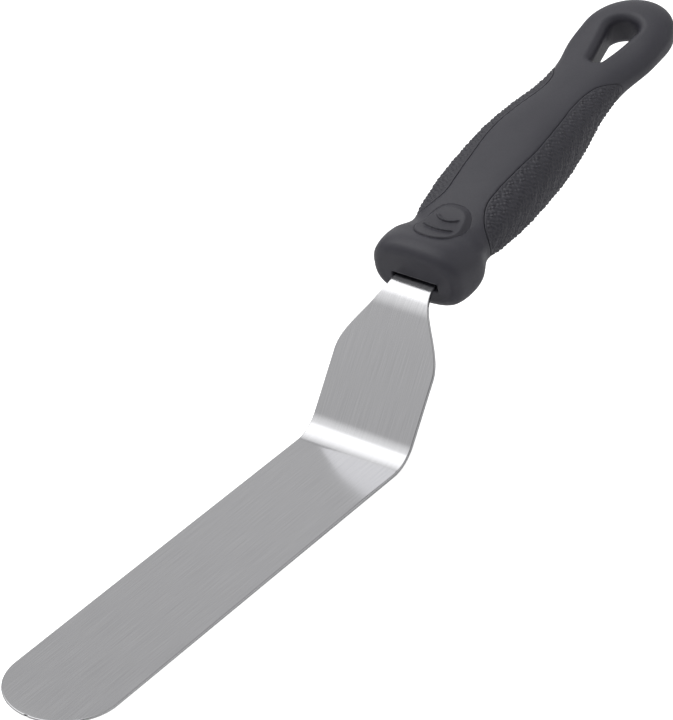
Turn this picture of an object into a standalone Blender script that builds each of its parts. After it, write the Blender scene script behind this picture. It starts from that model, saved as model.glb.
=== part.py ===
"""Offset spatula: one stainless strip, bent twice, held in a moulded hanging handle.

The tool lies along X with its tip towards +X. The blade's underside is the plane Z = 0.
Handle parts are modelled in the handle's own frame: X towards the blade, Z out of its upper face,
with the distance u from its origin, just in front of the nose, counted along -X.
"""

import math

import bmesh
import bpy
import numpy as np

MM = 0.001
GAP = 0.3 * MM  # clearance between touching pieces

# Steel strip, measured along its underside
BLADE_LENGTH = 150 * MM  # tip to the corner where the shank starts
BLADE_WIDTH = 32.8 * MM
STEEL_THICKNESS = 1.2 * MM
TIP_THINNESS = 0.5  # share of the full thickness left at the tip
LOWER_BEND_RADIUS = 11.6 * MM
UPPER_BEND_RADIUS = 14 * MM
SHANK_ANGLE = math.radians(57.3)
SHANK_STRAIGHT = 34.3 * MM
SHOULDER_START = 174 * MM  # where the full width begins to narrow to the neck
SHOULDER_LENGTH = 24.5 * MM
NECK_HALF_WIDTH = 6.8 * MM
TANG_LENGTH = 73.2 * MM
TANG_END_HALF_WIDTH = 4.6 * MM
TANG_HOLE_RADIUS = 2.6 * MM
TANG_HOLES = (26 * MM, 54 * MM)  # from the handle frame's origin

# Moulded handle, along from its frame's origin
NECK_INSET = 2.8 * MM  # where the upper bend ends
HANDLE_ANGLE = math.radians(13.8)
HANDLE_LENGTH = 138 * MM
HANDLE_RISE = 0.5 * MM  # middle of the handle above the middle of the tang
NOSE_LIFT = 1 * MM  # how much higher the nose is than the rest
NOSE_LIFT_LENGTH = 12 * MM
SECTION_POWER = 2.6  # 2 is an ellipse, more is squarer
NOSE_START = 1.6 * MM
NOSE_RADIUS = 2.4 * MM
BUTT_START = 121 * MM
BUTT_POWER = 3  # how square the butt is, seen from the side
# Distance from the frame's origin, half width, half thickness
HANDLE_STATIONS = np.array([
    (0, 13.8, 8.6),
    (6, 15.1, 10.4),
    (13, 15.6, 9.0),
    (20, 13.0, 6.7),
    (28, 14.1, 7.7),
    (38, 15.1, 8.9),
    (50, 15.4, 9.4),
    (63, 15.0, 9.5),
    (76, 13.6, 8.0),
    (88, 11.8, 6.1),
    (100, 11.7, 5.2),
    (112, 14.0, 4.8),
    (121, 14.3, 5.6),
    (139, 14.3, 5.6),
]) * MM

# Hanging hole: two circles and their common tangents
HOLE_SMALL_RADIUS = 1.7 * MM
HOLE_SMALL_AT = 105.2 * MM
HOLE_LARGE_RADIUS = 4.8 * MM
HOLE_LARGE_AT = 120.2 * MM

# Mouth around the neck, in the nose
MOUTH_HALF_WIDTH = 7.6 * MM
MOUTH_HEIGHT = 2.6 * MM
MOUTH_DEPTH = 1.6 * MM

# Textured grip panels
PANEL_MIDDLE = 60 * MM
PANEL_HALF_LENGTH = 39 * MM
PANEL_WRAP = math.radians(63)  # section angle from the side to each edge
PANEL_THICKNESS = 1.6 * MM

# Thumb rests
PAD_MIDDLE = 18.4 * MM
PAD_HALF_LENGTH = 8.8 * MM
PAD_HALF_WIDTH = 7.3 * MM
PAD_POWER = 2.8  # 2 is an ellipse, more is squarer
PAD_RAMP = ((9.6 * MM, 10.6 * MM), (27.2 * MM, 8.2 * MM))  # distance from the origin, height
PAD_DISH = 1.5 * MM
PAD_CROWN = 0.2 * MM
PAD_THICKNESS = 2.4 * MM

STEEL = ("stainless_steel", (0.60, 0.60, 0.61), 0.32, 1.0)
HARD_PLASTIC = ("hard_plastic", (0.045, 0.045, 0.052), 0.55, 0.0)
SOFT_PLASTIC = ("soft_plastic", (0.030, 0.030, 0.035), 0.75, 0.0)


def clear_scene():
    for obj in list(bpy.data.objects):
        bpy.data.objects.remove(obj, do_unlink=True)


def collection(name):
    made = bpy.data.collections.new(name)
    bpy.context.scene.collection.children.link(made)
    return made


def material(name, colour, roughness, metallic):
    made = bpy.data.materials.get(name) or bpy.data.materials.new(name)
    made.use_nodes = True
    surface = made.node_tree.nodes["Principled BSDF"]
    surface.inputs["Base Color"].default_value = (*colour, 1)
    surface.inputs["Roughness"].default_value = roughness
    surface.inputs["Metallic"].default_value = metallic
    return made


def add_object(name, mesh, where, parent):
    obj = bpy.data.objects.new(name, mesh)
    where.objects.link(obj)
    obj.parent = parent
    return obj


def add_part(name, mesh, parent, look):
    """A sub-part, with its own copy of a look, shaded smooth except at real edges."""
    mesh.materials.append(material(name + "_" + look[0], *look[1:]))
    obj = add_object(name, mesh, PARTS, parent)
    mesh.shade_smooth()
    mesh.set_sharp_from_angle(angle=math.radians(35))
    return obj


def add_cutter(name, mesh, parent):
    obj = add_object(name, mesh, CUTTERS, parent)
    obj.hide_render = True
    obj.display_type = "WIRE"
    return obj


def cut(obj, cutter):
    boolean = obj.modifiers.new("cut " + cutter.name, "BOOLEAN")
    boolean.operation = "DIFFERENCE"
    boolean.solver = "EXACT"
    boolean.object = cutter


def solidify(obj, thickness, offset, taper_group=None):
    shell = obj.modifiers.new("wall", "SOLIDIFY")
    shell.thickness = thickness
    shell.offset = offset
    shell.use_even_offset = True
    if taper_group:
        shell.vertex_group = taper_group


def sheet_mesh(name, rows, closed=False):
    """An open surface through rows of points. With closed, each row is a ring and both ends are capped."""
    bm = bmesh.new()
    grid = [[bm.verts.new(point) for point in row] for row in rows]
    width = len(grid[0])
    for near, far in zip(grid, grid[1:]):
        for i in range(width if closed else width - 1):
            j = (i + 1) % width
            bm.faces.new((near[i], near[j], far[j], far[i]))
    if closed:
        bm.faces.new(reversed(grid[0]))
        bm.faces.new(grid[-1])
    mesh = bpy.data.meshes.new(name)
    bm.to_mesh(mesh)
    bm.free()
    return mesh


def disc_mesh(name, rings, drop):
    """A surface through rings of points round a middle point, which comes first, extruded along Z by drop."""
    bm = bmesh.new()
    middle = bm.verts.new(rings[0][0])
    loops = [[bm.verts.new(point) for point in ring] for ring in rings[1:]]
    count = len(loops[0])
    for i in range(count):
        j = (i + 1) % count
        bm.faces.new((middle, loops[0][i], loops[0][j]))
        for inner, outer in zip(loops, loops[1:]):
            bm.faces.new((inner[i], outer[i], outer[j], inner[j]))
    moved = bmesh.ops.extrude_face_region(bm, geom=list(bm.faces), use_keep_orig=True)["geom"]
    moved = [item for item in moved if isinstance(item, bmesh.types.BMVert)]
    bmesh.ops.translate(bm, verts=moved, vec=(0, 0, drop))
    bmesh.ops.recalc_face_normals(bm, faces=bm.faces)
    mesh = bpy.data.meshes.new(name)
    bm.to_mesh(mesh)
    bm.free()
    return mesh


def prism_mesh(name, outline, low, high):
    """A flat outline, counted anticlockwise, raised from low to high."""
    rows = [[(x, y, z) for x, y in outline] for z in (low, high)]
    return sheet_mesh(name, rows, closed=True)


def circle_points(x, y, radius, start, end, count):
    angles = np.linspace(start, end, count)
    return [(x + radius * math.cos(a), y + radius * math.sin(a)) for a in angles]


def smooth_step(t):
    t = min(max(t, 0.0), 1.0)
    return t * t * (3 - 2 * t)


# ---------------------------------------------------------------- steel strip


def strip_lengths():
    """Distances along the underside at which each bend starts and ends, and the neck."""
    flat = BLADE_LENGTH - LOWER_BEND_RADIUS * math.tan(SHANK_ANGLE / 2)
    lower_end = flat + LOWER_BEND_RADIUS * SHANK_ANGLE
    upper_start = lower_end + SHANK_STRAIGHT
    neck = upper_start + UPPER_BEND_RADIUS * (SHANK_ANGLE - HANDLE_ANGLE)
    return flat, lower_end, upper_start, neck


def strip_point(s):
    """(x, z, slope) of the underside at distance s from the tip, which is at x = 0."""
    flat, lower_end, upper_start, neck = strip_lengths()
    if s <= flat:
        return -s, 0.0, 0.0
    turned = min(s - flat, lower_end - flat) / LOWER_BEND_RADIUS
    x = -flat - LOWER_BEND_RADIUS * math.sin(turned)
    z = LOWER_BEND_RADIUS * (1 - math.cos(turned))
    if s <= lower_end:
        return x, z, turned
    run = min(s, upper_start) - lower_end
    x -= run * math.cos(SHANK_ANGLE)
    z += run * math.sin(SHANK_ANGLE)
    if s <= upper_start:
        return x, z, SHANK_ANGLE
    slope = SHANK_ANGLE - (min(s, neck) - upper_start) / UPPER_BEND_RADIUS
    x -= UPPER_BEND_RADIUS * (math.sin(SHANK_ANGLE) - math.sin(slope))
    z += UPPER_BEND_RADIUS * (math.cos(slope) - math.cos(SHANK_ANGLE))
    run = max(s - neck, 0.0)
    return x - run * math.cos(slope), z + run * math.sin(slope), slope


def strip_half_width(s):
    """Round tip, parallel blade and shank, shoulders down to the neck, tapered tang with a round end."""
    neck = strip_lengths()[3]
    tip_radius = BLADE_WIDTH / 2
    if s < tip_radius:
        return math.sqrt(tip_radius**2 - (tip_radius - s) ** 2)
    narrowed = smooth_step((s - SHOULDER_START) / SHOULDER_LENGTH)
    width = tip_radius + (NECK_HALF_WIDTH - tip_radius) * narrowed
    if s < neck:
        return width
    width += (TANG_END_HALF_WIDTH - NECK_HALF_WIDTH) * (s - neck) / TANG_LENGTH
    past_round = max(s - (neck + TANG_LENGTH - TANG_END_HALF_WIDTH), 0.0)
    return min(width, math.sqrt(max(TANG_END_HALF_WIDTH**2 - past_round**2, 0.0)) + 0.4 * MM)


def strip_rows(stations, widen=0.0, columns=5):
    rows = []
    for s in stations:
        x, z, _ = strip_point(s)
        half = strip_half_width(s) + widen
        rows.append([(x, y, z) for y in np.linspace(-half, half, columns)])
    return rows


def tang_stations():
    neck = strip_lengths()[3]
    end = neck + TANG_LENGTH
    straight = np.linspace(neck, end - TANG_END_HALF_WIDTH, 6)
    rounded = end - TANG_END_HALF_WIDTH * (1 - np.sin(np.linspace(0, math.pi / 2, 6)[1:]))
    return [*straight, *rounded]


def thickness_share(s):
    """The blade is ground thinner towards its tip, so that it bends there first."""
    return TIP_THINNESS + (1 - TIP_THINNESS) * min(s / BLADE_LENGTH, 1.0) ** 0.6


def make_blade(tool, tang_pins):
    flat, lower_end, upper_start, neck = strip_lengths()
    tip_radius = BLADE_WIDTH / 2
    tip = tip_radius * (1 - np.cos(np.radians(np.linspace(7, 90, 13))))
    blade = np.linspace(tip_radius, flat, 6)[1:]
    lower_bend = np.linspace(flat, lower_end, 9)[1:]
    shank = np.linspace(lower_end, upper_start, 10)[1:]
    upper_bend = np.linspace(upper_start, neck, 8)[1:]
    stations = [*tip, *blade, *lower_bend, *shank, *upper_bend, *tang_stations()[1:]]
    rows = strip_rows(stations)
    obj = add_part("blade", sheet_mesh("blade", rows), tool, STEEL)
    taper = obj.vertex_groups.new(name="thickness")
    for row, s in enumerate(stations):
        members = range(row * len(rows[0]), (row + 1) * len(rows[0]))
        taper.add(list(members), thickness_share(s), "REPLACE")
    solidify(obj, STEEL_THICKNESS, 1, "thickness")
    for pin in tang_pins:
        cut(obj, pin)
    return obj


def tang_pin_cutter(name, u, radius, handle):
    """A cylinder through the tang, in the handle's frame."""
    outline = circle_points(-u, 0, radius, 0, 2 * math.pi, 25)[:-1]
    return add_cutter(name, prism_mesh(name, outline, -4 * MM, 4 * MM), handle)


def pocket_cutter(tool, handle):
    """The room that the tang needs inside the handle, pierced where the moulding fills the tang's holes."""
    neck = strip_lengths()[3]
    stations = [neck - 0.8 * MM, *tang_stations(), neck + TANG_LENGTH + GAP]
    rows = strip_rows(stations, widen=GAP, columns=3)
    obj = add_cutter("tang_pocket", sheet_mesh("tang_pocket", rows), tool)
    share = (STEEL_THICKNESS + GAP) / (STEEL_THICKNESS + 2 * GAP)
    solidify(obj, STEEL_THICKNESS + 2 * GAP, 2 * share - 1)
    for number, u in enumerate(TANG_HOLES):
        cut(obj, tang_pin_cutter(f"tang_key_{number}", u, TANG_HOLE_RADIUS - GAP, handle))
    return obj


# --------------------------------------------------------------- handle shape


def station_value(u, column):
    """A smooth curve through the stations: cubic between neighbours, with the slope of the chord across."""
    at, values = HANDLE_STATIONS[:, 0], HANDLE_STATIONS[:, column]
    slopes = np.gradient(values, at)
    i = int(np.clip(np.searchsorted(at, u) - 1, 0, len(at) - 2))
    span = at[i + 1] - at[i]
    t = (u - at[i]) / span
    start = (2 * t**3 - 3 * t**2 + 1) * values[i] + (t**3 - 2 * t**2 + t) * span * slopes[i]
    end = (3 * t**2 - 2 * t**3) * values[i + 1] + (t**3 - t**2) * span * slopes[i + 1]
    return start + end


def handle_section(u):
    """(half width, half thickness) at distance u, with the nose and the butt rounded."""
    half_width, half_thickness = station_value(u, 1), station_value(u, 2)
    into_nose = min(max(NOSE_START + NOSE_RADIUS - u, 0.0), NOSE_RADIUS)
    inset = NOSE_RADIUS - math.sqrt(NOSE_RADIUS**2 - into_nose**2)
    into_butt = min(max(u - BUTT_START, 0.0) / (HANDLE_LENGTH - BUTT_START), 1.0)
    half_width *= math.sqrt(1 - into_butt**2)
    half_thickness *= (1 - into_butt**BUTT_POWER) ** (1 / BUTT_POWER)
    return half_width - inset, half_thickness - inset


def middle_height(u):
    """Height of the section's middle above the middle of the tang."""
    return HANDLE_RISE + NOSE_LIFT * (1 - smooth_step(u / NOSE_LIFT_LENGTH))


def signed_power(value, power):
    return math.copysign(abs(value) ** power, value)


def surface_point(u, angle, lift=0.0):
    """A point of the handle's skin: angle 0 is the +Y side and a quarter turn is the upper face."""
    half_width, half_thickness = handle_section(u)
    y = (half_width + lift) * signed_power(math.cos(angle), 2 / SECTION_POWER)
    z = (half_thickness + lift) * signed_power(math.sin(angle), 2 / SECTION_POWER)
    return -u, y, z + middle_height(u)


def handle_rings():
    """Distances along the handle, closer together where the outline turns."""
    nose = NOSE_START + NOSE_RADIUS * (1 - np.cos(np.linspace(0, math.pi / 2, 6)))
    body = np.linspace(nose[-1], BUTT_START, 34)[1:]
    turn = np.radians(np.linspace(0, 86, 8))[1:]
    butt = BUTT_START + (HANDLE_LENGTH - BUTT_START) * np.sin(turn)
    return [*nose, *body, *butt]


def body_mesh(name):
    angles = np.linspace(2 * math.pi, 0, 33)[:-1]
    rows = [[surface_point(u, a) for a in angles] for u in handle_rings()]
    return sheet_mesh(name, rows, closed=True)


def hole_outline():
    """Teardrop in the handle's plane, its small end towards the blade."""
    spread = HOLE_LARGE_AT - HOLE_SMALL_AT
    tangent = math.acos((HOLE_LARGE_RADIUS - HOLE_SMALL_RADIUS) / spread)
    towards_butt = math.pi
    large = circle_points(
        -HOLE_LARGE_AT, 0, HOLE_LARGE_RADIUS, tangent, 2 * towards_butt - tangent, 17
    )
    small = circle_points(-HOLE_SMALL_AT, 0, HOLE_SMALL_RADIUS, -tangent, tangent, 9)
    return [*large, *small]


# ------------------------------------------------------------ panels and pads


def panel_rows(side, margin, lift):
    """The patch of the handle's skin that a grip panel covers, grown by margin and lifted off."""
    rows = []
    for turn in np.radians(np.linspace(-86, 86, 25)):
        along = math.sin(turn)
        u = PANEL_MIDDLE + (PANEL_HALF_LENGTH + margin) * along
        wrap = PANEL_WRAP * math.sqrt(1 - along**6) + margin / handle_section(u)[1]
        middle = 0.0 if side > 0 else math.pi
        angles = middle + np.linspace(wrap, -wrap, 13)
        rows.append([surface_point(u, a, lift) for a in angles])
    return rows


def panel_cutter(name, side, handle):
    reach = 1.0 * MM
    obj = add_cutter(name, sheet_mesh(name, panel_rows(side, GAP, reach)), handle)
    solidify(obj, reach + PANEL_THICKNESS + GAP, -1)
    return obj


def make_panel(name, side, handle):
    obj = add_part(name, sheet_mesh(name, panel_rows(side, 0.0, 0.0)), handle, SOFT_PLASTIC)
    solidify(obj, PANEL_THICKNESS, -1)
    return obj


def pad_height(u, y):
    """A dish between the bolster's crest and the spine, slightly crowned across."""
    (u_high, high), (u_low, low) = PAD_RAMP
    t = (u - u_high) / (u_low - u_high)
    return high + (low - high) * t - PAD_DISH * math.sin(math.pi * t) - PAD_CROWN * (y / PAD_HALF_WIDTH) ** 2


def pad_rings(face, margin, lift):
    """Points of a thumb rest, ring by ring. face is 1 for the upper side and -1 for the lower."""
    rings = []
    for share in (0.0, 0.4, 0.75, 1.0):
        ring = []
        for angle in np.linspace(0, 2 * math.pi, 25)[:-1]:
            along = signed_power(math.cos(angle), 2 / PAD_POWER)
            across = signed_power(math.sin(angle), 2 / PAD_POWER)
            u = PAD_MIDDLE - share * (PAD_HALF_LENGTH + margin) * along
            y = face * share * (PAD_HALF_WIDTH + margin) * across
            ring.append((-u, y, HANDLE_RISE + face * (pad_height(u, y) + lift)))
        rings.append(ring)
    return rings


def pad_cutter(name, face, handle):
    reach = 2.0 * MM
    depth = reach + PAD_THICKNESS + GAP
    return add_cutter(name, disc_mesh(name, pad_rings(face, GAP, reach), -face * depth), handle)


def make_pad(name, face, handle):
    mesh = disc_mesh(name, pad_rings(face, 0.0, 0.0), -face * PAD_THICKNESS)
    return add_part(name, mesh, handle, SOFT_PLASTIC)


def mouth_cutter(handle):
    floor = -NOSE_START - MOUTH_DEPTH
    outline = [
        (2 * MM, -MOUTH_HALF_WIDTH),
        (2 * MM, MOUTH_HALF_WIDTH),
        (floor, MOUTH_HALF_WIDTH),
        (floor, -MOUTH_HALF_WIDTH),
    ]
    reach = MOUTH_HEIGHT / 2
    return add_cutter("mouth", prism_mesh("mouth", outline, -reach, reach), handle)


def make_core(handle, cutters):
    obj = add_part("handle_core", body_mesh("handle_core"), handle, HARD_PLASTIC)
    for cutter in cutters:
        cut(obj, cutter)
    return obj


def add_frames():
    """The tool's frame, centred along X, and the handle's, in line with the middle of the tang."""
    x, z, slope = strip_point(strip_lengths()[3])
    handle_x = x + math.sin(slope) * STEEL_THICKNESS / 2 + math.cos(slope) * NECK_INSET
    handle_z = z + math.cos(slope) * STEEL_THICKNESS / 2 - math.sin(slope) * NECK_INSET
    angles = np.linspace(0, 2 * math.pi, 33)
    skin = [surface_point(u, a) for u in handle_rings() for a in angles]
    butt_x = min(x * math.cos(HANDLE_ANGLE) + z * math.sin(HANDLE_ANGLE) for x, y, z in skin)
    tool = add_object("offset_spatula", None, PARTS, None)
    tool.location = (-(handle_x + butt_x) / 2, 0, 0)
    handle = add_object("handle_frame", None, PARTS, tool)
    handle.location = (handle_x, 0, handle_z)
    handle.rotation_euler = (0, HANDLE_ANGLE, 0)
    return tool, handle


def build():
    tool, handle = add_frames()
    pins = [
        tang_pin_cutter(f"tang_hole_{number}", u, TANG_HOLE_RADIUS, handle)
        for number, u in enumerate(TANG_HOLES)
    ]
    make_blade(tool, pins)
    hole = add_cutter(
        "hanging_hole", prism_mesh("hanging_hole", hole_outline(), -12 * MM, 12 * MM), handle
    )
    cutters = [hole, mouth_cutter(handle), pocket_cutter(tool, handle)]
    for label, side in (("right", 1), ("left", -1)):
        cutters.append(panel_cutter(f"panel_recess_{label}", side, handle))
        make_panel(f"grip_panel_{label}", side, handle)
    for label, face in (("front", 1), ("back", -1)):
        cutters.append(pad_cutter(f"pad_recess_{label}", face, handle))
        make_pad(f"thumb_rest_{label}", face, handle)
    make_core(handle, cutters)


clear_scene()
PARTS = collection("offset_spatula")
CUTTERS = collection("cutters")
build()
bpy.context.view_layer.update()
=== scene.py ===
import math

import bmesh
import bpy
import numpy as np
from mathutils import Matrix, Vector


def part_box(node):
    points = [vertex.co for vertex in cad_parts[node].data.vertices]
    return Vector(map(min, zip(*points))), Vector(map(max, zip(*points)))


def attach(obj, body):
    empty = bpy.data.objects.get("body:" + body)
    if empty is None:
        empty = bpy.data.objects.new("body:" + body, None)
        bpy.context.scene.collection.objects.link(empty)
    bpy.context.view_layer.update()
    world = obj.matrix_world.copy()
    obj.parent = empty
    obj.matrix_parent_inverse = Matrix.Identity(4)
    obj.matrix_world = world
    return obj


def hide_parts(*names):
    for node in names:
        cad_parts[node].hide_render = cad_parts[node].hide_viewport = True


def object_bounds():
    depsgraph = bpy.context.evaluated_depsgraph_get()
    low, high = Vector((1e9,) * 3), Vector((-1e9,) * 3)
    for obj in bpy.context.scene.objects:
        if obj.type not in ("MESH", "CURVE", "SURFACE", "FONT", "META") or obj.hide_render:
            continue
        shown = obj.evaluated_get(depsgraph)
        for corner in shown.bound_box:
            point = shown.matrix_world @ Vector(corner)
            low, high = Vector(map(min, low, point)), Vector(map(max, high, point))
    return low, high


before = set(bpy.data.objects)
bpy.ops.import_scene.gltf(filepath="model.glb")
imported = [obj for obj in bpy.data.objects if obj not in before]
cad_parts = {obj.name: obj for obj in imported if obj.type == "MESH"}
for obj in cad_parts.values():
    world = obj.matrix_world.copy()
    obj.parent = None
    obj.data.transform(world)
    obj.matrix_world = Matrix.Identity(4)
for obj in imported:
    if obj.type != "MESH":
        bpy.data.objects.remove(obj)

# The offset spatula's looks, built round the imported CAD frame.
#
# Shapes are worked out in millimetres and turned into metres when a mesh is made.
# Strip: s is the distance from the tip along the underside, and h the height above the underside.
# Handle: its own frame has X towards the blade, Z out of the upper face and its origin just in front
#         of the nose. u is the distance from that origin, along -X. A field is negative inside the solid.

CAD_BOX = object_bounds()
MM = 0.001
BODY = "root"
TINY = 1e-9  # keeps divisions away from zero

# Camera
CAMERA_AZIMUTH = math.radians(124.17)
CAMERA_ELEVATION = math.radians(30.79)
CAMERA_ROLL = math.radians(-0.43)
CAMERA_DISTANCE = 0.9441
CAMERA_AIM = Vector((-0.13176, 0.00531, 0.0402))  # from the blade's tip, on its underside
LENS = 174.55
SENSOR_WIDTH = 36

# Steel strip, the same sizes as the CAD
BLADE_LENGTH = 150.0
BLADE_WIDTH = 32.8
STEEL_THICKNESS = 1.2
TIP_THINNESS = 0.5  # share of the thickness that the tip keeps
TAPER_POWER = 0.6  # under 1, the thickness grows faster near the tip
LOWER_BEND_RADIUS = 11.6
UPPER_BEND_RADIUS = 14.0
SHANK_ANGLE = math.radians(57.3)
SHANK_STRAIGHT = 34.3
SHOULDER_START = 174.0
SHOULDER_LENGTH = 24.5
NECK_HALF_WIDTH = 6.8
TANG_LENGTH = 73.2
TANG_END_HALF_WIDTH = 4.6
TANG_TIP_HALF_WIDTH = 0.4
TANG_HOLE_RADIUS = 2.6
TANG_HOLES = (26.0, 54.0)  # distance from the handle frame's origin
TANG_CUTTER_HEIGHT = 6.0
EDGE_RADIUS = 0.28
EDGE_SHARE = 0.38  # the most of the strip's thickness that one edge's rounding takes
EDGE_BAND = 0.1  # narrow faces inside the rounding, which keep the flats' shading flat
SECTION_COLUMNS = 25
CAD_TIP_CUT = 0.12  # how far the CAD tip stops short of the round
TIP_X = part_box("blade")[1].x / MM + CAD_TIP_CUT

# Handle, the same sizes as the CAD apart from its rims, gaps and creases
NECK_INSET = 2.8  # where the upper bend ends
HANDLE_ANGLE = math.radians(13.8)
HANDLE_LENGTH = 138.0
HANDLE_RISE = 0.5  # the mid-plane's height above the tang's middle
NOSE_LIFT = 1.0  # how much higher the mid-plane is at the nose
NOSE_LIFT_LENGTH = 12.0
SECTION_POWER = 2.6
NOSE_START = 1.6  # the nose's flat face
NOSE_RADIUS = 2.4
BUTT_START = 121.0  # where the butt's rounding begins
# Distance from the frame's origin, half width, half thickness
STATIONS = np.array([
    (0, 13.8, 8.6),
    (6, 15.1, 10.4),
    (13, 15.6, 9.0),
    (20, 13.0, 6.7),
    (28, 14.1, 7.7),
    (38, 15.1, 8.9),
    (50, 15.4, 9.4),
    (63, 15.0, 9.5),
    (76, 13.6, 8.0),
    (88, 11.8, 6.1),
    (100, 11.7, 5.2),
    (112, 14.0, 4.8),
    (121, 14.3, 5.6),
    (139, 14.3, 5.6),
])
HOLE_SMALL = (105.2, 1.7)  # distance from the frame's origin, radius
HOLE_LARGE = (120.2, 4.8)
HOLE_RIM = 2.8  # rounding of the hole's rims
MOUTH_HALF_WIDTH = 7.6
MOUTH_HEIGHT = 2.6
MOUTH_DEPTH = 1.6
MOUTH_FRONT = 5.0  # its cutter ends in front of the nose
GAP = 0.12  # between the core and the grip panels
POCKET_GAP = 0.04  # between the core and the tang
POCKET_START = 0.01  # just past the neck, where the tang's own width begins
CREASE = 0.15  # rounding of small edges

# Grip panels: distance from the frame's origin, and how far from the middle plane the panel starts
PANEL_EDGE = np.array([
    (19.0, 17.5),
    (21.2, 13.4),
    (23.2, 11.0),
    (26.5, 8.7),
    (31.0, 7.1),
    (37.0, 7.2),
    (46.0, 7.9),
    (58.0, 8.8),
    (70.0, 8.1),
    (80.0, 6.9),
    (87.0, 6.7),
    (92.0, 7.6),
    (96.0, 9.6),
    (99.0, 11.4),
    (102.0, 14.5),
])
PANEL_THICKNESS = 1.6
PANEL_EDGE_RADIUS = 0.25
PANEL_RIM = 0.4  # plain rim round the texture
PANEL_FADE = 0.5  # width over which the texture rises
WEAVE_PITCH = 1.15
WEAVE_HEIGHT = 0.44
WEAVE_RADIUS = 11.5  # turns an angle round the handle into a distance
WEAVE_STRAY = ((0.16, 1.7, 0.9), (0.13, -1.1, 2.9))  # waves: size, turn per mm along, turn per mm round
WEAVE_UNEVEN = (0.2, 0.83, 1.9)  # the same for the ribs' height
RIB_LOW = 0.35  # share of its height that a rib keeps where it passes under

# Thumb rests, a little narrower and rounder than in the CAD
PAD_MIDDLE = 18.4
PAD_HALF_LENGTH = 8.8
PAD_HALF_WIDTH = 7.0
PAD_POWER = 2.5
PAD_RAMP = ((9.6, 10.6), (27.2, 8.2))  # distance from the origin, height above the mid-plane
PAD_DISH = 1.5
PAD_CROWN = 0.2
PAD_THICKNESS = 2.4
PAD_FLANK = (0.5, 1.9)  # width of the flank round a thumb rest, towards the nose and the butt
PAD_SEAM = 0.05  # how far a thumb rest reaches under the edge of its recess
# Raised arcs: centre's distance from the origin, radius, half angle
PAD_ARCS = ((24.0, 4.6, math.radians(44)), (24.2, 9.6, math.radians(26)))
ARC_STEEP = 0.3  # width of an arc's slope towards the nose
ARC_GENTLE = 1.3  # width of its slope towards the butt
ARC_HEIGHT = 0.6

# Grids on which the mouldings are made: low and high corner in the handle's frame, width of a cell
CORE_BOX = ((-139.3, -16.2, -10.2), (0.7, 16.2, 11.6))
CORE_STEP = 0.42
PANEL_BOX = ((-101.0, 5.5, -9.8), (-19.0, 16.0, 10.8))  # right side
PAD_BOX = ((-27.6, -7.4, 4.9), (-9.2, 7.4, 11.8))  # upper face
SOFT_STEP = 0.218
POINT_PULL = 0.06  # how firmly a cell's point stays near the middle of its crossings

# Steel: dark and light shade, lowest and highest roughness, depth of the bumps in millimetres, and
# how fine each pattern is, along and across the strip, per metre
STEEL_SHADES = ((0.47, 0.47, 0.485), (0.63, 0.63, 0.64))
STEEL_ROUGHNESS = (0.10, 0.17)
GRAIN_DEPTH = 0.003
GRAIN_SCALE = (60, 4200, 1)
SPECKLE_DEPTH = 0.002
SPECKLE_SCALE = (2600, 2600, 1)
CLOUD_SCALE = (45, 90, 1)

# Plastics: dark and light shade of each, and the roughness and bump depth of both
HARD_SHADES = ((0.038, 0.037, 0.049), (0.046, 0.045, 0.058))
SOFT_SHADES = ((0.038, 0.037, 0.048), (0.048, 0.047, 0.059))
PLASTIC_ROUGHNESS = (0.40, 0.52)
PLASTIC_DEPTH = 0.06

# Studio
FLOOR_HALF_WIDTH = 3000.0
FLOOR_DROP = 0.05  # below the blade's underside
AMBIENT = 0.25
# Direction of each softbox, half angles of its core and its edge in degrees, radiance
SOFTBOXES = (
    ((-0.10, -0.49, 0.87), 24, 33, 0.68),
    ((0.15, -0.49, 0.86), 5, 46, 0.56),
    ((0.37, -0.49, 0.79), 5, 58, 0.50),
    ((-0.83, -0.47, 0.30), 8, 36, 0.45),
    ((-0.45, 0.66, 0.60), 8, 48, 0.42),
)
FLOOR_GLOW = 0.8  # seen by the camera only, so that the floor stays white round the shadows


# ------------------------------------------------------------------ camera


def make_camera():
    lens = bpy.data.cameras.new("camera")
    lens.lens = LENS
    lens.sensor_width = SENSOR_WIDTH
    camera = bpy.data.objects.new("camera", lens)
    bpy.context.scene.collection.objects.link(camera)
    level = math.cos(CAMERA_ELEVATION)
    back = Vector((
        level * math.sin(CAMERA_AZIMUTH),
        -level * math.cos(CAMERA_AZIMUTH),
        math.sin(CAMERA_ELEVATION),
    ))
    right = Vector((0, 0, 1)).cross(back).normalized()
    turn = Matrix.Rotation(CAMERA_ROLL, 3, back)
    right = turn @ right
    up = back.cross(right)
    tip = Vector((TIP_X * MM, 0, 0))
    axes = Matrix((right, up, back)).transposed().to_4x4()
    camera.matrix_world = Matrix.Translation(tip + CAMERA_AIM + back * CAMERA_DISTANCE) @ axes
    bpy.context.scene.camera = camera


# ------------------------------------------------------------------ materials


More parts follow.
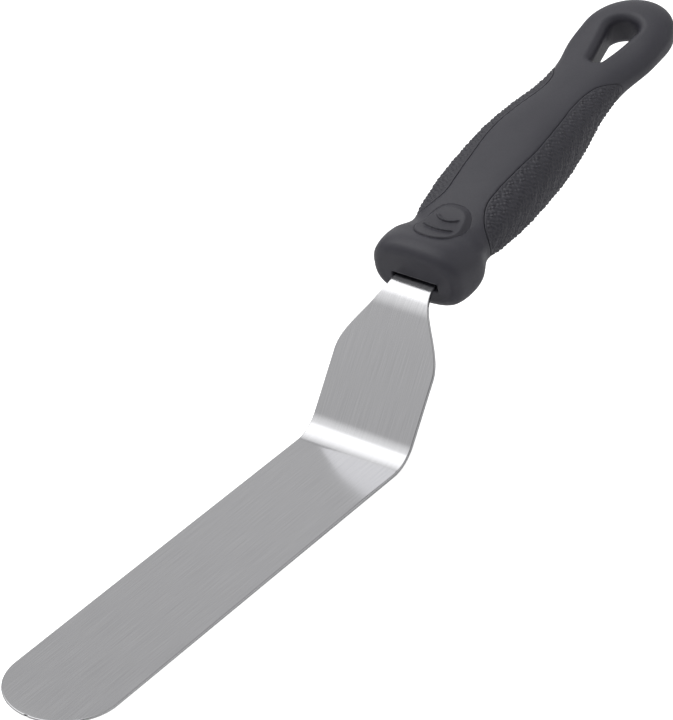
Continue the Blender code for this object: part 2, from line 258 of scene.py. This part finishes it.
class Nodes:
    """Adds nodes to a material and joins them up."""

    def __init__(self, name):
        self.material = bpy.data.materials.new(name)
        self.material.use_nodes = True
        self.tree = self.material.node_tree
        self.surface = self.tree.nodes["Principled BSDF"]

    def add(self, kind, settings=None, **inputs):
        made = self.tree.nodes.new("ShaderNode" + kind)
        for key, value in (settings or {}).items():
            setattr(made, key, value)
        for key, value in inputs.items():
            self.feed(made.inputs[key.replace("_", " ")], value)
        return made

    def feed(self, socket, value):
        if isinstance(value, bpy.types.NodeSocket):
            self.tree.links.new(value, socket)
        else:
            socket.default_value = value

    def noise(self, vector, scale, detail):
        return self.add("TexNoise", Vector=vector, Scale=scale, Detail=detail).outputs["Fac"]

    def spread(self, factor, low, high, start=0.0, end=1.0):
        """Maps start..end to low..high."""
        made = self.add("MapRange")
        self.feed(made.inputs["Value"], factor)
        for socket, value in zip(("From Min", "From Max", "To Min", "To Max"), (start, end, low, high)):
            made.inputs[socket].default_value = value
        return made.outputs["Result"]

    def blend(self, factor, low, high):
        made = self.add("Mix", {"data_type": "RGBA"})
        self.feed(made.inputs["Factor"], factor)
        self.feed(made.inputs[6], (*low, 1))
        self.feed(made.inputs[7], (*high, 1))
        return made.outputs[2]

    def bump(self, height, distance, strength=1.0, under=None):
        made = self.add("Bump", Height=height, Distance=distance, Strength=strength)
        if under:
            self.feed(made.inputs["Normal"], under)
        return made.outputs["Normal"]

    def shade(self, **inputs):
        for key, value in inputs.items():
            self.feed(self.surface.inputs[key.replace("_", " ")], value)
        return self.material


def brushed_steel():
    """Steel brushed along the strip, on the strip's flat coordinates in metres."""
    made = Nodes("brushed_steel")
    along = made.add("UVMap", {"uv_map": "strip"}).outputs["UV"]
    grain, speckle, cloud = (
        made.noise(made.add("Mapping", Vector=along, Scale=scale).outputs["Vector"], 1.0, detail)
        for scale, detail in ((GRAIN_SCALE, 3), (SPECKLE_SCALE, 2), (CLOUD_SCALE, 2))
    )
    mixed = made.add("Math", {"operation": "MULTIPLY_ADD"})
    made.feed(mixed.inputs[0], cloud)
    mixed.inputs[1].default_value = 0.5
    made.feed(mixed.inputs[2], grain)
    rough = made.spread(mixed.outputs[0], *STEEL_ROUGHNESS, 0.3, 1.2)
    colour = made.blend(grain, *STEEL_SHADES)
    normal = made.bump(grain, GRAIN_DEPTH * MM)
    normal = made.bump(speckle, SPECKLE_DEPTH * MM, under=normal)
    tangent = made.add("Tangent", {"direction_type": "UV_MAP", "uv_map": "strip"}).outputs["Tangent"]
    return made.shade(
        Base_Color=colour,
        Metallic=1.0,
        Roughness=rough,
        Anisotropic=0.3,
        Normal=normal,
        Tangent=tangent,
    )


def moulded_plastic(name, shades):
    """Plastic with a fine moulded grain."""
    made = Nodes(name)
    place = made.add("TexCoord").outputs["Object"]
    fine = made.noise(place, 2800, 2)
    coarse = made.noise(place, 160, 3)
    colour = made.blend(coarse, *shades)
    rough = made.spread(fine, *PLASTIC_ROUGHNESS, 0.3, 0.7)
    normal = made.bump(fine, PLASTIC_DEPTH * MM, 0.7)
    return made.shade(Base_Color=colour, Roughness=rough, Normal=normal)


def floor_material():
    made = Nodes("floor")
    place = made.add("TexCoord").outputs["Object"]
    colour = made.blend(made.noise(place, 3, 1), (0.88, 0.88, 0.88), (0.9, 0.9, 0.9))
    seen = made.add("LightPath").outputs["Is Camera Ray"]
    glow = made.spread(seen, 0, FLOOR_GLOW)
    return made.shade(
        Base_Color=colour,
        Roughness=0.9,
        Emission_Color=(1, 1, 1, 1),
        Emission_Strength=glow,
    )


# ------------------------------------------------------------------ meshes


def mesh_object(name, points, faces, place):
    """An object from points in millimetres, in the frame that place gives in metres."""
    mesh = bpy.data.meshes.new(name)
    mesh.from_pydata(np.asarray(points) * MM, [], faces)
    mesh.transform(place)
    mesh.update()
    mesh.shade_smooth()
    obj = bpy.data.objects.new(name, mesh)
    bpy.context.scene.collection.objects.link(obj)
    return obj


def finish_piece(obj, node, look):
    obj.data.materials.append(look)
    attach(obj, BODY)
    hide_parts(node)


def gradient(field, points, reach=0.01):
    sides = []
    for axis in range(3):
        offset = np.zeros(3)
        offset[axis] = reach
        sides.append((field(*(points + offset).T) - field(*(points - offset).T)) / (2 * reach))
    return np.stack(sides, axis=-1)


def crossings(field, axes, values, axis):
    """The surface's crossings of the grid's edges along one axis: edge starts, points and normals."""
    inside = values < 0
    count = values.shape[axis]
    low = np.take(inside, range(count - 1), axis)
    high = np.take(inside, range(1, count), axis)
    start = np.argwhere(low != high)
    end = start.copy()
    end[:, axis] += 1
    points = np.stack([axes[k][start[:, k]] for k in range(3)], axis=-1)
    near, far = values[tuple(start.T)], values[tuple(end.T)]
    step = axes[axis][end[:, axis]] - points[:, axis]
    share = near / (near - far)
    points[:, axis] += share * step
    normals = gradient(field, points)
    normals /= np.linalg.norm(normals, axis=1, keepdims=True) + TINY
    return start, points, normals, inside[tuple(start.T)]


def contour(field, axes):
    """Points and quads of the surface where a field is zero, by dual contouring, which keeps edges crisp."""
    shape = [len(a) for a in axes]
    values = np.broadcast_to(field(*np.meshgrid(*axes, indexing="ij", sparse=True)), shape)
    cells, places, normals = [], [], []
    for axis in range(3):
        start, points, slopes, leaving = crossings(field, axes, values, axis)
        first = np.eye(3, dtype=int)[(axis + 1) % 3]
        second = np.eye(3, dtype=int)[(axis + 2) % 3]
        corners = [start - first - second, start - second, start, start - first]
        quad = np.stack([np.ravel_multi_index(c.T, shape) for c in corners], axis=-1)
        quad[~leaving] = quad[~leaving][:, ::-1]
        cells.append(quad)
        places.append(points)
        normals.append(slopes)
    cells, places, normals = np.concatenate(cells), np.concatenate(places), np.concatenate(normals)
    unique, quads = np.unique(cells, return_inverse=True)
    quads = quads.reshape(-1, 4)

    def total(values_at_edges):
        return np.bincount(quads.ravel(), np.repeat(values_at_edges, 4), len(unique))

    count = total(np.ones(len(places)))
    mean = np.stack([total(places[:, k]) for k in range(3)], axis=-1) / count[:, None]
    level = (normals * places).sum(1)
    square = np.empty((len(unique), 3, 3))
    side = np.empty((len(unique), 3))
    for i in range(3):
        side[:, i] = total(normals[:, i] * level)
        for j in range(3):
            square[:, i, j] = total(normals[:, i] * normals[:, j])
    side -= np.einsum("nij,nj->ni", square, mean)
    square += POINT_PULL * count[:, None, None] * np.eye(3)
    found = mean + np.linalg.solve(square, side[:, :, None])[:, :, 0]
    corner = np.stack(np.unravel_index(unique, shape), axis=-1)
    low = np.stack([axes[k][corner[:, k]] for k in range(3)], axis=-1)
    high = np.stack([axes[k][corner[:, k] + 1] for k in range(3)], axis=-1)
    return np.clip(found, low, high), quads


def grid_axis(low, high, step):
    return np.linspace(low, high, int(math.ceil((high - low) / step)) + 1)


# ------------------------------------------------------------------ steel strip

FLAT_END = BLADE_LENGTH - LOWER_BEND_RADIUS * math.tan(SHANK_ANGLE / 2)
LOWER_END = FLAT_END + LOWER_BEND_RADIUS * SHANK_ANGLE
UPPER_START = LOWER_END + SHANK_STRAIGHT
NECK = UPPER_START + UPPER_BEND_RADIUS * (SHANK_ANGLE - HANDLE_ANGLE)


def strip_path(s):
    """x, z and slope of the underside at distances s from the tip, which is at x = 0."""
    turned = np.clip(s - FLAT_END, 0, LOWER_END - FLAT_END) / LOWER_BEND_RADIUS
    risen = np.clip(s - LOWER_END, 0, SHANK_STRAIGHT)
    eased = np.clip(s - UPPER_START, 0, NECK - UPPER_START) / UPPER_BEND_RADIUS
    past = np.maximum(s - NECK, 0)
    slope = turned - eased
    x = -np.minimum(s, FLAT_END) - LOWER_BEND_RADIUS * np.sin(turned)
    x -= risen * math.cos(SHANK_ANGLE) + past * math.cos(HANDLE_ANGLE)
    x -= UPPER_BEND_RADIUS * (math.sin(SHANK_ANGLE) - np.sin(SHANK_ANGLE - eased))
    z = LOWER_BEND_RADIUS * (1 - np.cos(turned)) + risen * math.sin(SHANK_ANGLE)
    z += UPPER_BEND_RADIUS * (np.cos(SHANK_ANGLE - eased) - math.cos(SHANK_ANGLE))
    z += past * math.sin(HANDLE_ANGLE)
    return x, z, slope


def smooth_step(t):
    t = np.clip(t, 0, 1)
    return t * t * (3 - 2 * t)


def strip_half_width(s):
    """Round tip, parallel blade and shank, shoulders down to the neck, tapered tang with a round end."""
    radius = BLADE_WIDTH / 2
    past = np.maximum(s - NECK, 0)
    width = np.sqrt(np.maximum(radius**2 - np.maximum(radius - s, 0) ** 2, 0))
    width += (NECK_HALF_WIDTH - radius) * smooth_step((s - SHOULDER_START) / SHOULDER_LENGTH)
    width += (TANG_END_HALF_WIDTH - NECK_HALF_WIDTH) * past / TANG_LENGTH
    into_round = np.clip(past - TANG_LENGTH + TANG_END_HALF_WIDTH, 0, TANG_END_HALF_WIDTH)
    round_end = np.sqrt(TANG_END_HALF_WIDTH**2 - into_round**2) + TANG_TIP_HALF_WIDTH
    return np.where(s < NECK, width, np.minimum(width, round_end))


def strip_stations():
    """Distances from the tip of the strip's rows of points, closer together where it curves."""
    radius = BLADE_WIDTH / 2
    tip = radius * (1 - np.cos(np.radians(np.linspace(1.5, 90, 46))))
    end = NECK + TANG_LENGTH
    rounded = end - TANG_END_HALF_WIDTH * (1 - np.sin(np.linspace(0, math.pi / 2, 12)))
    spans = [
        tip,
        np.linspace(radius, FLAT_END, 90)[1:],
        np.linspace(FLAT_END, LOWER_END, 36)[1:],
        np.linspace(LOWER_END, UPPER_START, 50)[1:],
        np.linspace(UPPER_START, NECK, 24)[1:],
        np.linspace(NECK, rounded[0], 40)[1:],
        rounded[1:],
    ]
    return np.concatenate(spans)


def strip_section(thickness):
    """(inset from the outline, height, share of the way across), anticlockwise round the strip's section."""
    radius = min(EDGE_RADIUS, EDGE_SHARE * thickness)
    band = radius + EDGE_BAND
    turn = np.linspace(0, math.pi / 2, 5)
    lower = [(radius * (1 - math.sin(t)), radius * (1 - math.cos(t)), 1) for t in turn]
    upper = [(inset, thickness - height, 1) for inset, height, _ in reversed(lower)]
    right = [(band, 0, 1), *lower, *upper, (band, thickness, 1)]
    inner = np.linspace(1, -1, SECTION_COLUMNS)[1:-1]
    top = [(band, thickness, share) for share in inner]
    left = [(inset, height, -1) for inset, height, _ in reversed(right)]
    bottom = [(band, 0, share) for share in reversed(inner)]
    return np.array([*right, *top, *left, *bottom], float)


def strip_rows():
    """The strip's points, a row round the section at each station, and the same points laid flat."""
    stations = strip_stations()
    half = strip_half_width(stations)
    ds, dw = np.gradient(stations), np.gradient(half)
    length = np.hypot(ds, dw)
    share_left = TIP_THINNESS + (1 - TIP_THINNESS) * np.minimum(stations / BLADE_LENGTH, 1) ** TAPER_POWER
    rows, flat_rows = [], []
    for s, width, inward_s, inward_y, share in zip(stations, half, dw / length, -ds / length, share_left):
        inset, height, side = strip_section(STEEL_THICKNESS * share).T
        at = s + inset * inward_s
        across = side * (width + inset * inward_y)
        x, z, slope = strip_path(at)
        rows.append(np.stack([x + height * np.sin(slope), across, z + height * np.cos(slope)], -1))
        flat_rows.append(np.stack([at, across], -1))
    return rows, flat_rows


def tube_faces(count, around):
    """Quads between rows of points that each go once round, with a cap on both ends."""
    faces = []
    for start in range(0, (count - 1) * around, around):
        for i in range(around):
            j = (i + 1) % around
            faces.append((start + i, start + around + i, start + around + j, start + j))
    faces.append(tuple(range(around)))
    faces.append(tuple(reversed(range((count - 1) * around, count * around))))
    return faces


def make_blade(look):
    rows, flat_rows = strip_rows()
    place = Matrix.Translation((TIP_X * MM, 0, 0))
    obj = mesh_object("steel_strip", np.concatenate(rows), tube_faces(len(rows), len(rows[0])), place)
    flat = np.concatenate(flat_rows) * MM
    layer = obj.data.uv_layers.new(name="strip")
    corners = np.empty(len(obj.data.loops), int)
    obj.data.loops.foreach_get("vertex_index", corners)
    layer.data.foreach_set("uv", flat[corners].ravel())
    pierce_tang(obj)
    finish_piece(obj, "blade", look)


def pierce_tang(obj):
    """Cuts the holes that the moulding fills."""
    cutters = []
    for number, u in enumerate(TANG_HOLES):
        bm = bmesh.new()
        bmesh.ops.create_cone(
            bm,
            cap_ends=True,
            segments=32,
            radius1=TANG_HOLE_RADIUS * MM,
            radius2=TANG_HOLE_RADIUS * MM,
            depth=TANG_CUTTER_HEIGHT * MM,
            matrix=HANDLE_PLACE @ Matrix.Translation((-u * MM, 0, 0)),
        )
        mesh = bpy.data.meshes.new(f"tang_hole_{number}")
        bm.to_mesh(mesh)
        bm.free()
        cutter = bpy.data.objects.new(mesh.name, mesh)
        bpy.context.scene.collection.objects.link(cutter)
        boolean = obj.modifiers.new(mesh.name, "BOOLEAN")
        boolean.operation = "DIFFERENCE"
        boolean.solver = "EXACT"
        boolean.object = cutter
        cutters.append(cutter)
    graph = bpy.context.evaluated_depsgraph_get()
    pierced = bpy.data.meshes.new_from_object(obj.evaluated_get(graph))
    obj.modifiers.clear()
    obj.data = pierced
    for cutter in cutters:
        bpy.data.objects.remove(cutter, do_unlink=True)


# ------------------------------------------------------------------ handle fields


def curve_through(table, column, u):
    """A smooth curve through a table's rows, held level past both ends."""
    at, values = table[:, 0], table[:, column]
    slopes = np.gradient(values, at)
    u = np.clip(u, at[0], at[-1])
    i = np.clip(np.searchsorted(at, u) - 1, 0, len(at) - 2)
    span = at[i + 1] - at[i]
    t = (u - at[i]) / span
    start = (2 * t**3 - 3 * t**2 + 1) * values[i] + (t**3 - 2 * t**2 + t) * span * slopes[i]
    end = (3 * t**2 - 2 * t**3) * values[i + 1] + (t**3 - t**2) * span * slopes[i + 1]
    return start + end


def meet(a, b, radius):
    """Inside both fields, with the outside corner between them rounded."""
    corner = np.hypot(np.maximum(a + radius, 0), np.maximum(b + radius, 0))
    return np.minimum(-radius, np.maximum(a, b)) + corner


def middle_height(u):
    """Height of the handle's mid-plane, which is higher at the nose."""
    return HANDLE_RISE + NOSE_LIFT * (1 - smooth_step(u / NOSE_LIFT_LENGTH))


def section_field(x, y, z):
    """The handle's long outer skin, rounded at the butt."""
    u = -x
    half_width, half_height = curve_through(STATIONS, 1, u), curve_through(STATIONS, 2, u)
    butt_length = HANDLE_LENGTH - BUTT_START
    into_butt = np.maximum(u - BUTT_START, 0) / butt_length
    out = np.hypot(y / half_width, into_butt) + TINY
    up = np.abs(z - middle_height(u)) / half_height + TINY
    size = (out**SECTION_POWER + up**SECTION_POWER) ** (1 / SECTION_POWER)
    out_slope = np.hypot(y / half_width**2, into_butt / butt_length) / out
    out_slope = out_slope * (out / size) ** (SECTION_POWER - 1)
    up_slope = (up / size) ** (SECTION_POWER - 1) / half_height
    return (size - 1) / (np.hypot(out_slope, up_slope) + TINY)


def hole_field(x, y):
    """The teardrop of the hanging hole, seen from above: two circles and their common tangents."""
    (small_at, small_radius), (large_at, large_radius) = HOLE_SMALL, HOLE_LARGE
    length = large_at - small_at
    along, out = -x - small_at, np.abs(y)
    lean = (small_radius - large_radius) / length
    steep = math.sqrt(1 - lean * lean)
    place = -lean * out + steep * along
    small = np.hypot(out, along) - small_radius
    large = np.hypot(out, along - length) - large_radius
    side = steep * out + lean * along - small_radius
    return np.where(place < 0, small, np.where(place > steep * length, large, side))


def box_field(x, y, z, low, high):
    """A box from its low to its high corner."""
    sides = [np.abs(v - (a + b) / 2) - (b - a) / 2 for v, a, b in zip((x, y, z), low, high)]
    outside = np.sqrt(sum(np.maximum(side, 0) ** 2 for side in sides))
    return outside + np.minimum(np.maximum(np.maximum(sides[0], sides[1]), sides[2]), 0)


def pocket_field(x, y, z):
    """Room for the tang, pierced where the moulding fills the tang's holes."""
    past = -x - NECK_INSET
    wide = strip_half_width(NECK + np.clip(past - POCKET_GAP, POCKET_START, TANG_LENGTH)) + POCKET_GAP
    room = np.maximum(np.abs(y) - wide, past - TANG_LENGTH - POCKET_GAP)
    room = np.maximum(room, np.abs(z) - STEEL_THICKNESS / 2 - POCKET_GAP)
    for u in TANG_HOLES:
        room = np.maximum(room, TANG_HOLE_RADIUS - POCKET_GAP - np.hypot(-x - u, y))
    return room


def panel_outline(x, y, side):
    """Seen from above: negative where the grip panel lies."""
    u, reach = -x, 0.1
    edge = curve_through(PANEL_EDGE, 1, u)
    rise = curve_through(PANEL_EDGE, 1, u + reach) - curve_through(PANEL_EDGE, 1, u - reach)
    lean = rise / (2 * reach)
    return (edge - side * y) / np.sqrt(1 + lean**2)


def weave(x, y, z):
    """Ribs that pass over and under each other, askew to the handle and a little uneven."""
    round_handle = np.arctan2(z - HANDLE_RISE, np.abs(y)) * WEAVE_RADIUS
    stray = sum(size * np.sin(a * x + b * round_handle) for size, a, b in WEAVE_STRAY)
    p = (x + round_handle) / (math.sqrt(2) * WEAVE_PITCH) + stray
    q = (x - round_handle) / (math.sqrt(2) * WEAVE_PITCH) - stray
    odd = (np.floor(p) + np.floor(q)) % 2
    swell_p, swell_q = np.sin(math.pi * (p % 1)), np.sin(math.pi * (q % 1))
    rib_p = swell_q * (RIB_LOW + (1 - RIB_LOW) * swell_p * (1 - odd))
    rib_q = swell_p * (RIB_LOW + (1 - RIB_LOW) * swell_q * odd)
    size, a, b = WEAVE_UNEVEN
    uneven = 1 - size + size * np.sin(a * x + b * round_handle)
    return WEAVE_HEIGHT * (np.maximum(rib_p, rib_q) * uneven - 0.5)


def panel_field(side):
    def field(x, y, z):
        outline = panel_outline(x, y, side)
        skin = section_field(x, y, z)
        inner = -(skin + PANEL_THICKNESS)
        skin = skin - weave(x, y, z) * smooth_step((-outline - PANEL_RIM) / PANEL_FADE)
        return meet(meet(skin, outline, PANEL_EDGE_RADIUS), inner, CREASE)

    return field


def pad_outline(x, y):
    """A squarish ellipse seen from above."""
    along = np.abs(-x - PAD_MIDDLE) / PAD_HALF_LENGTH
    across = np.abs(y) / PAD_HALF_WIDTH
    out = (along**PAD_POWER + across**PAD_POWER) ** (1 / PAD_POWER) + TINY
    slope_along = (along / out) ** (PAD_POWER - 1) / PAD_HALF_LENGTH
    slope_across = (across / out) ** (PAD_POWER - 1) / PAD_HALF_WIDTH
    return (out - 1) / (np.hypot(slope_along, slope_across) + TINY)


def pad_height(x, y):
    """Above the mid-plane: a ramp down towards the butt, dished along and crowned across."""
    (u_high, high), (u_low, low) = PAD_RAMP
    t = np.clip((-x - u_high) / (u_low - u_high), -0.1, 1.1)
    ramp = high + (low - high) * t - PAD_DISH * np.sin(math.pi * t)
    return ramp - PAD_CROWN * (y / PAD_HALF_WIDTH) ** 2


def arc_height(x, y):
    """Height of the raised arcs on a thumb rest, steeper towards the nose."""
    height = 0.0
    for centre, radius, half_angle in PAD_ARCS:
        along, across = centre + x, y
        out = np.hypot(along, across) - radius
        past_end = radius * np.maximum(np.abs(np.arctan2(across, along)) - half_angle, 0)
        slope = np.maximum(out / ARC_STEEP, -out / ARC_GENTLE)
        height = height + ARC_HEIGHT * (1 - smooth_step(np.hypot(slope, past_end / ARC_GENTLE)))
    return height


def pad_field(face):
    """A thumb rest, whose flanks come down to the handle's skin where it stands above the skin."""
    def field(x, y, z):
        outline = pad_outline(x, y)
        over = face * (z - HANDLE_RISE) - pad_height(x, y)
        raised = np.maximum(section_field(x, y, z) - over, 0)
        nose_flank, butt_flank = PAD_FLANK
        towards_butt = smooth_step(0.5 - (x + PAD_MIDDLE) / PAD_HALF_LENGTH)
        flank = nose_flank + (butt_flank - nose_flank) * towards_butt
        top = over + raised * (1 - smooth_step(-outline / flank)) - arc_height(x, y)
        return np.maximum(np.maximum(top, outline), -(over + PAD_THICKNESS))

    return field


def core_field(x, y, z):
    """The hard moulding: the skin less its hole, its recesses, its mouth and the tang's pocket."""
    skin = section_field(x, y, z)
    core = meet(meet(skin, x + NOSE_START, NOSE_RADIUS), -hole_field(x, y), HOLE_RIM)
    for side in (1, -1):
        recess = np.maximum(panel_outline(x, y, side) - GAP, -(skin + PANEL_THICKNESS + GAP))
        core = meet(core, -recess, CREASE)
    for face in (1, -1):
        over = face * (z - HANDLE_RISE) - pad_height(x, y)
        recess = np.maximum(pad_outline(x, y) + PAD_SEAM, -(over + PAD_THICKNESS))
        core = np.maximum(core, -recess)
    low = (-NOSE_START - MOUTH_DEPTH, -MOUTH_HALF_WIDTH, -MOUTH_HEIGHT / 2)
    high = (MOUTH_FRONT, MOUTH_HALF_WIDTH, MOUTH_HEIGHT / 2)
    mouth = box_field(x, y, z, low, high)
    core = meet(core, -mouth, CREASE)
    return np.maximum(core, -pocket_field(x, y, z))


def handle_place():
    """The handle's frame in metres, just in front of the nose and in line with the middle of the tang."""
    x, z, slope = strip_path(NECK)
    neck = Matrix.Translation(Vector((TIP_X + x, 0, z)) * MM) @ Matrix.Rotation(slope, 4, "Y")
    return neck @ Matrix.Translation(Vector((NECK_INSET, 0, STEEL_THICKNESS / 2)) * MM)


def mirrored(box, axis, plane):
    """A box's low and high corner, mirrored across the plane where the axis has that value."""
    low, high = [list(corner) for corner in box]
    low[axis], high[axis] = 2 * plane - high[axis], 2 * plane - low[axis]
    return low, high


def make_moulding(name, field, box, step, node, look):
    axes = [grid_axis(low, high, step) for low, high in zip(*box)]
    points, quads = contour(field, axes)
    obj = mesh_object(name, points, quads.tolist(), HANDLE_PLACE)
    finish_piece(obj, node, look)


def make_handle():
    hard = moulded_plastic("hard_plastic", HARD_SHADES)
    soft = moulded_plastic("soft_plastic", SOFT_SHADES)
    make_moulding("handle_moulding", core_field, CORE_BOX, CORE_STEP, "handle_core", hard)
    for label, side in (("right", 1), ("left", -1)):
        name, node = f"knurled_panel_{label}", f"grip_panel_{label}"
        box = PANEL_BOX if side > 0 else mirrored(PANEL_BOX, 1, 0)
        make_moulding(name, panel_field(side), box, SOFT_STEP, node, soft)
    for label, face in (("front", 1), ("back", -1)):
        name, node = f"thumb_pad_{label}", f"thumb_rest_{label}"
        box = PAD_BOX if face > 0 else mirrored(PAD_BOX, 2, HANDLE_RISE)
        make_moulding(name, pad_field(face), box, SOFT_STEP, node, soft)


def make_floor():
    side = FLOOR_HALF_WIDTH
    corners = [(-side, -side, 0), (side, -side, 0), (side, side, 0), (-side, side, 0)]
    place = Matrix.Translation((0, 0, CAD_BOX[0].z - FLOOR_DROP * MM))
    floor = mesh_object("floor", corners, [(0, 1, 2, 3)], place)
    floor.data.materials.append(floor_material())


def make_light():
    """A soft studio as a sky: an even glow and a few wide patches with soft edges."""
    world = bpy.data.worlds.new("studio")
    world.use_nodes = True
    tree = world.node_tree
    direction = tree.nodes.new("ShaderNodeTexCoord").outputs["Generated"]
    glow = None
    for axis, core, edge, radiance in SOFTBOXES:
        aim = tree.nodes.new("ShaderNodeVectorMath")
        aim.operation = "DOT_PRODUCT"
        aim.inputs[1].default_value = Vector(axis).normalized()
        tree.links.new(direction, aim.inputs[0])
        patch = tree.nodes.new("ShaderNodeMapRange")
        patch.interpolation_type = "SMOOTHSTEP"
        patch.inputs["From Min"].default_value = math.cos(math.radians(edge))
        patch.inputs["From Max"].default_value = math.cos(math.radians(core))
        patch.inputs["To Max"].default_value = radiance
        tree.links.new(aim.outputs["Value"], patch.inputs["Value"])
        total = tree.nodes.new("ShaderNodeMath")
        total.inputs[0].default_value = AMBIENT
        if glow:
            tree.links.new(glow, total.inputs[0])
        tree.links.new(patch.outputs["Result"], total.inputs[1])
        glow = total.outputs["Value"]
    tree.links.new(glow, tree.nodes["Background"].inputs["Strength"])
    tree.nodes["Background"].inputs["Color"].default_value = (1, 1, 1, 1)
    bpy.context.scene.world = world
    bpy.context.scene.view_settings.view_transform = "Standard"


HANDLE_PLACE = handle_place()
make_camera()
make_blade(brushed_steel())
make_handle()
make_floor()
make_light()
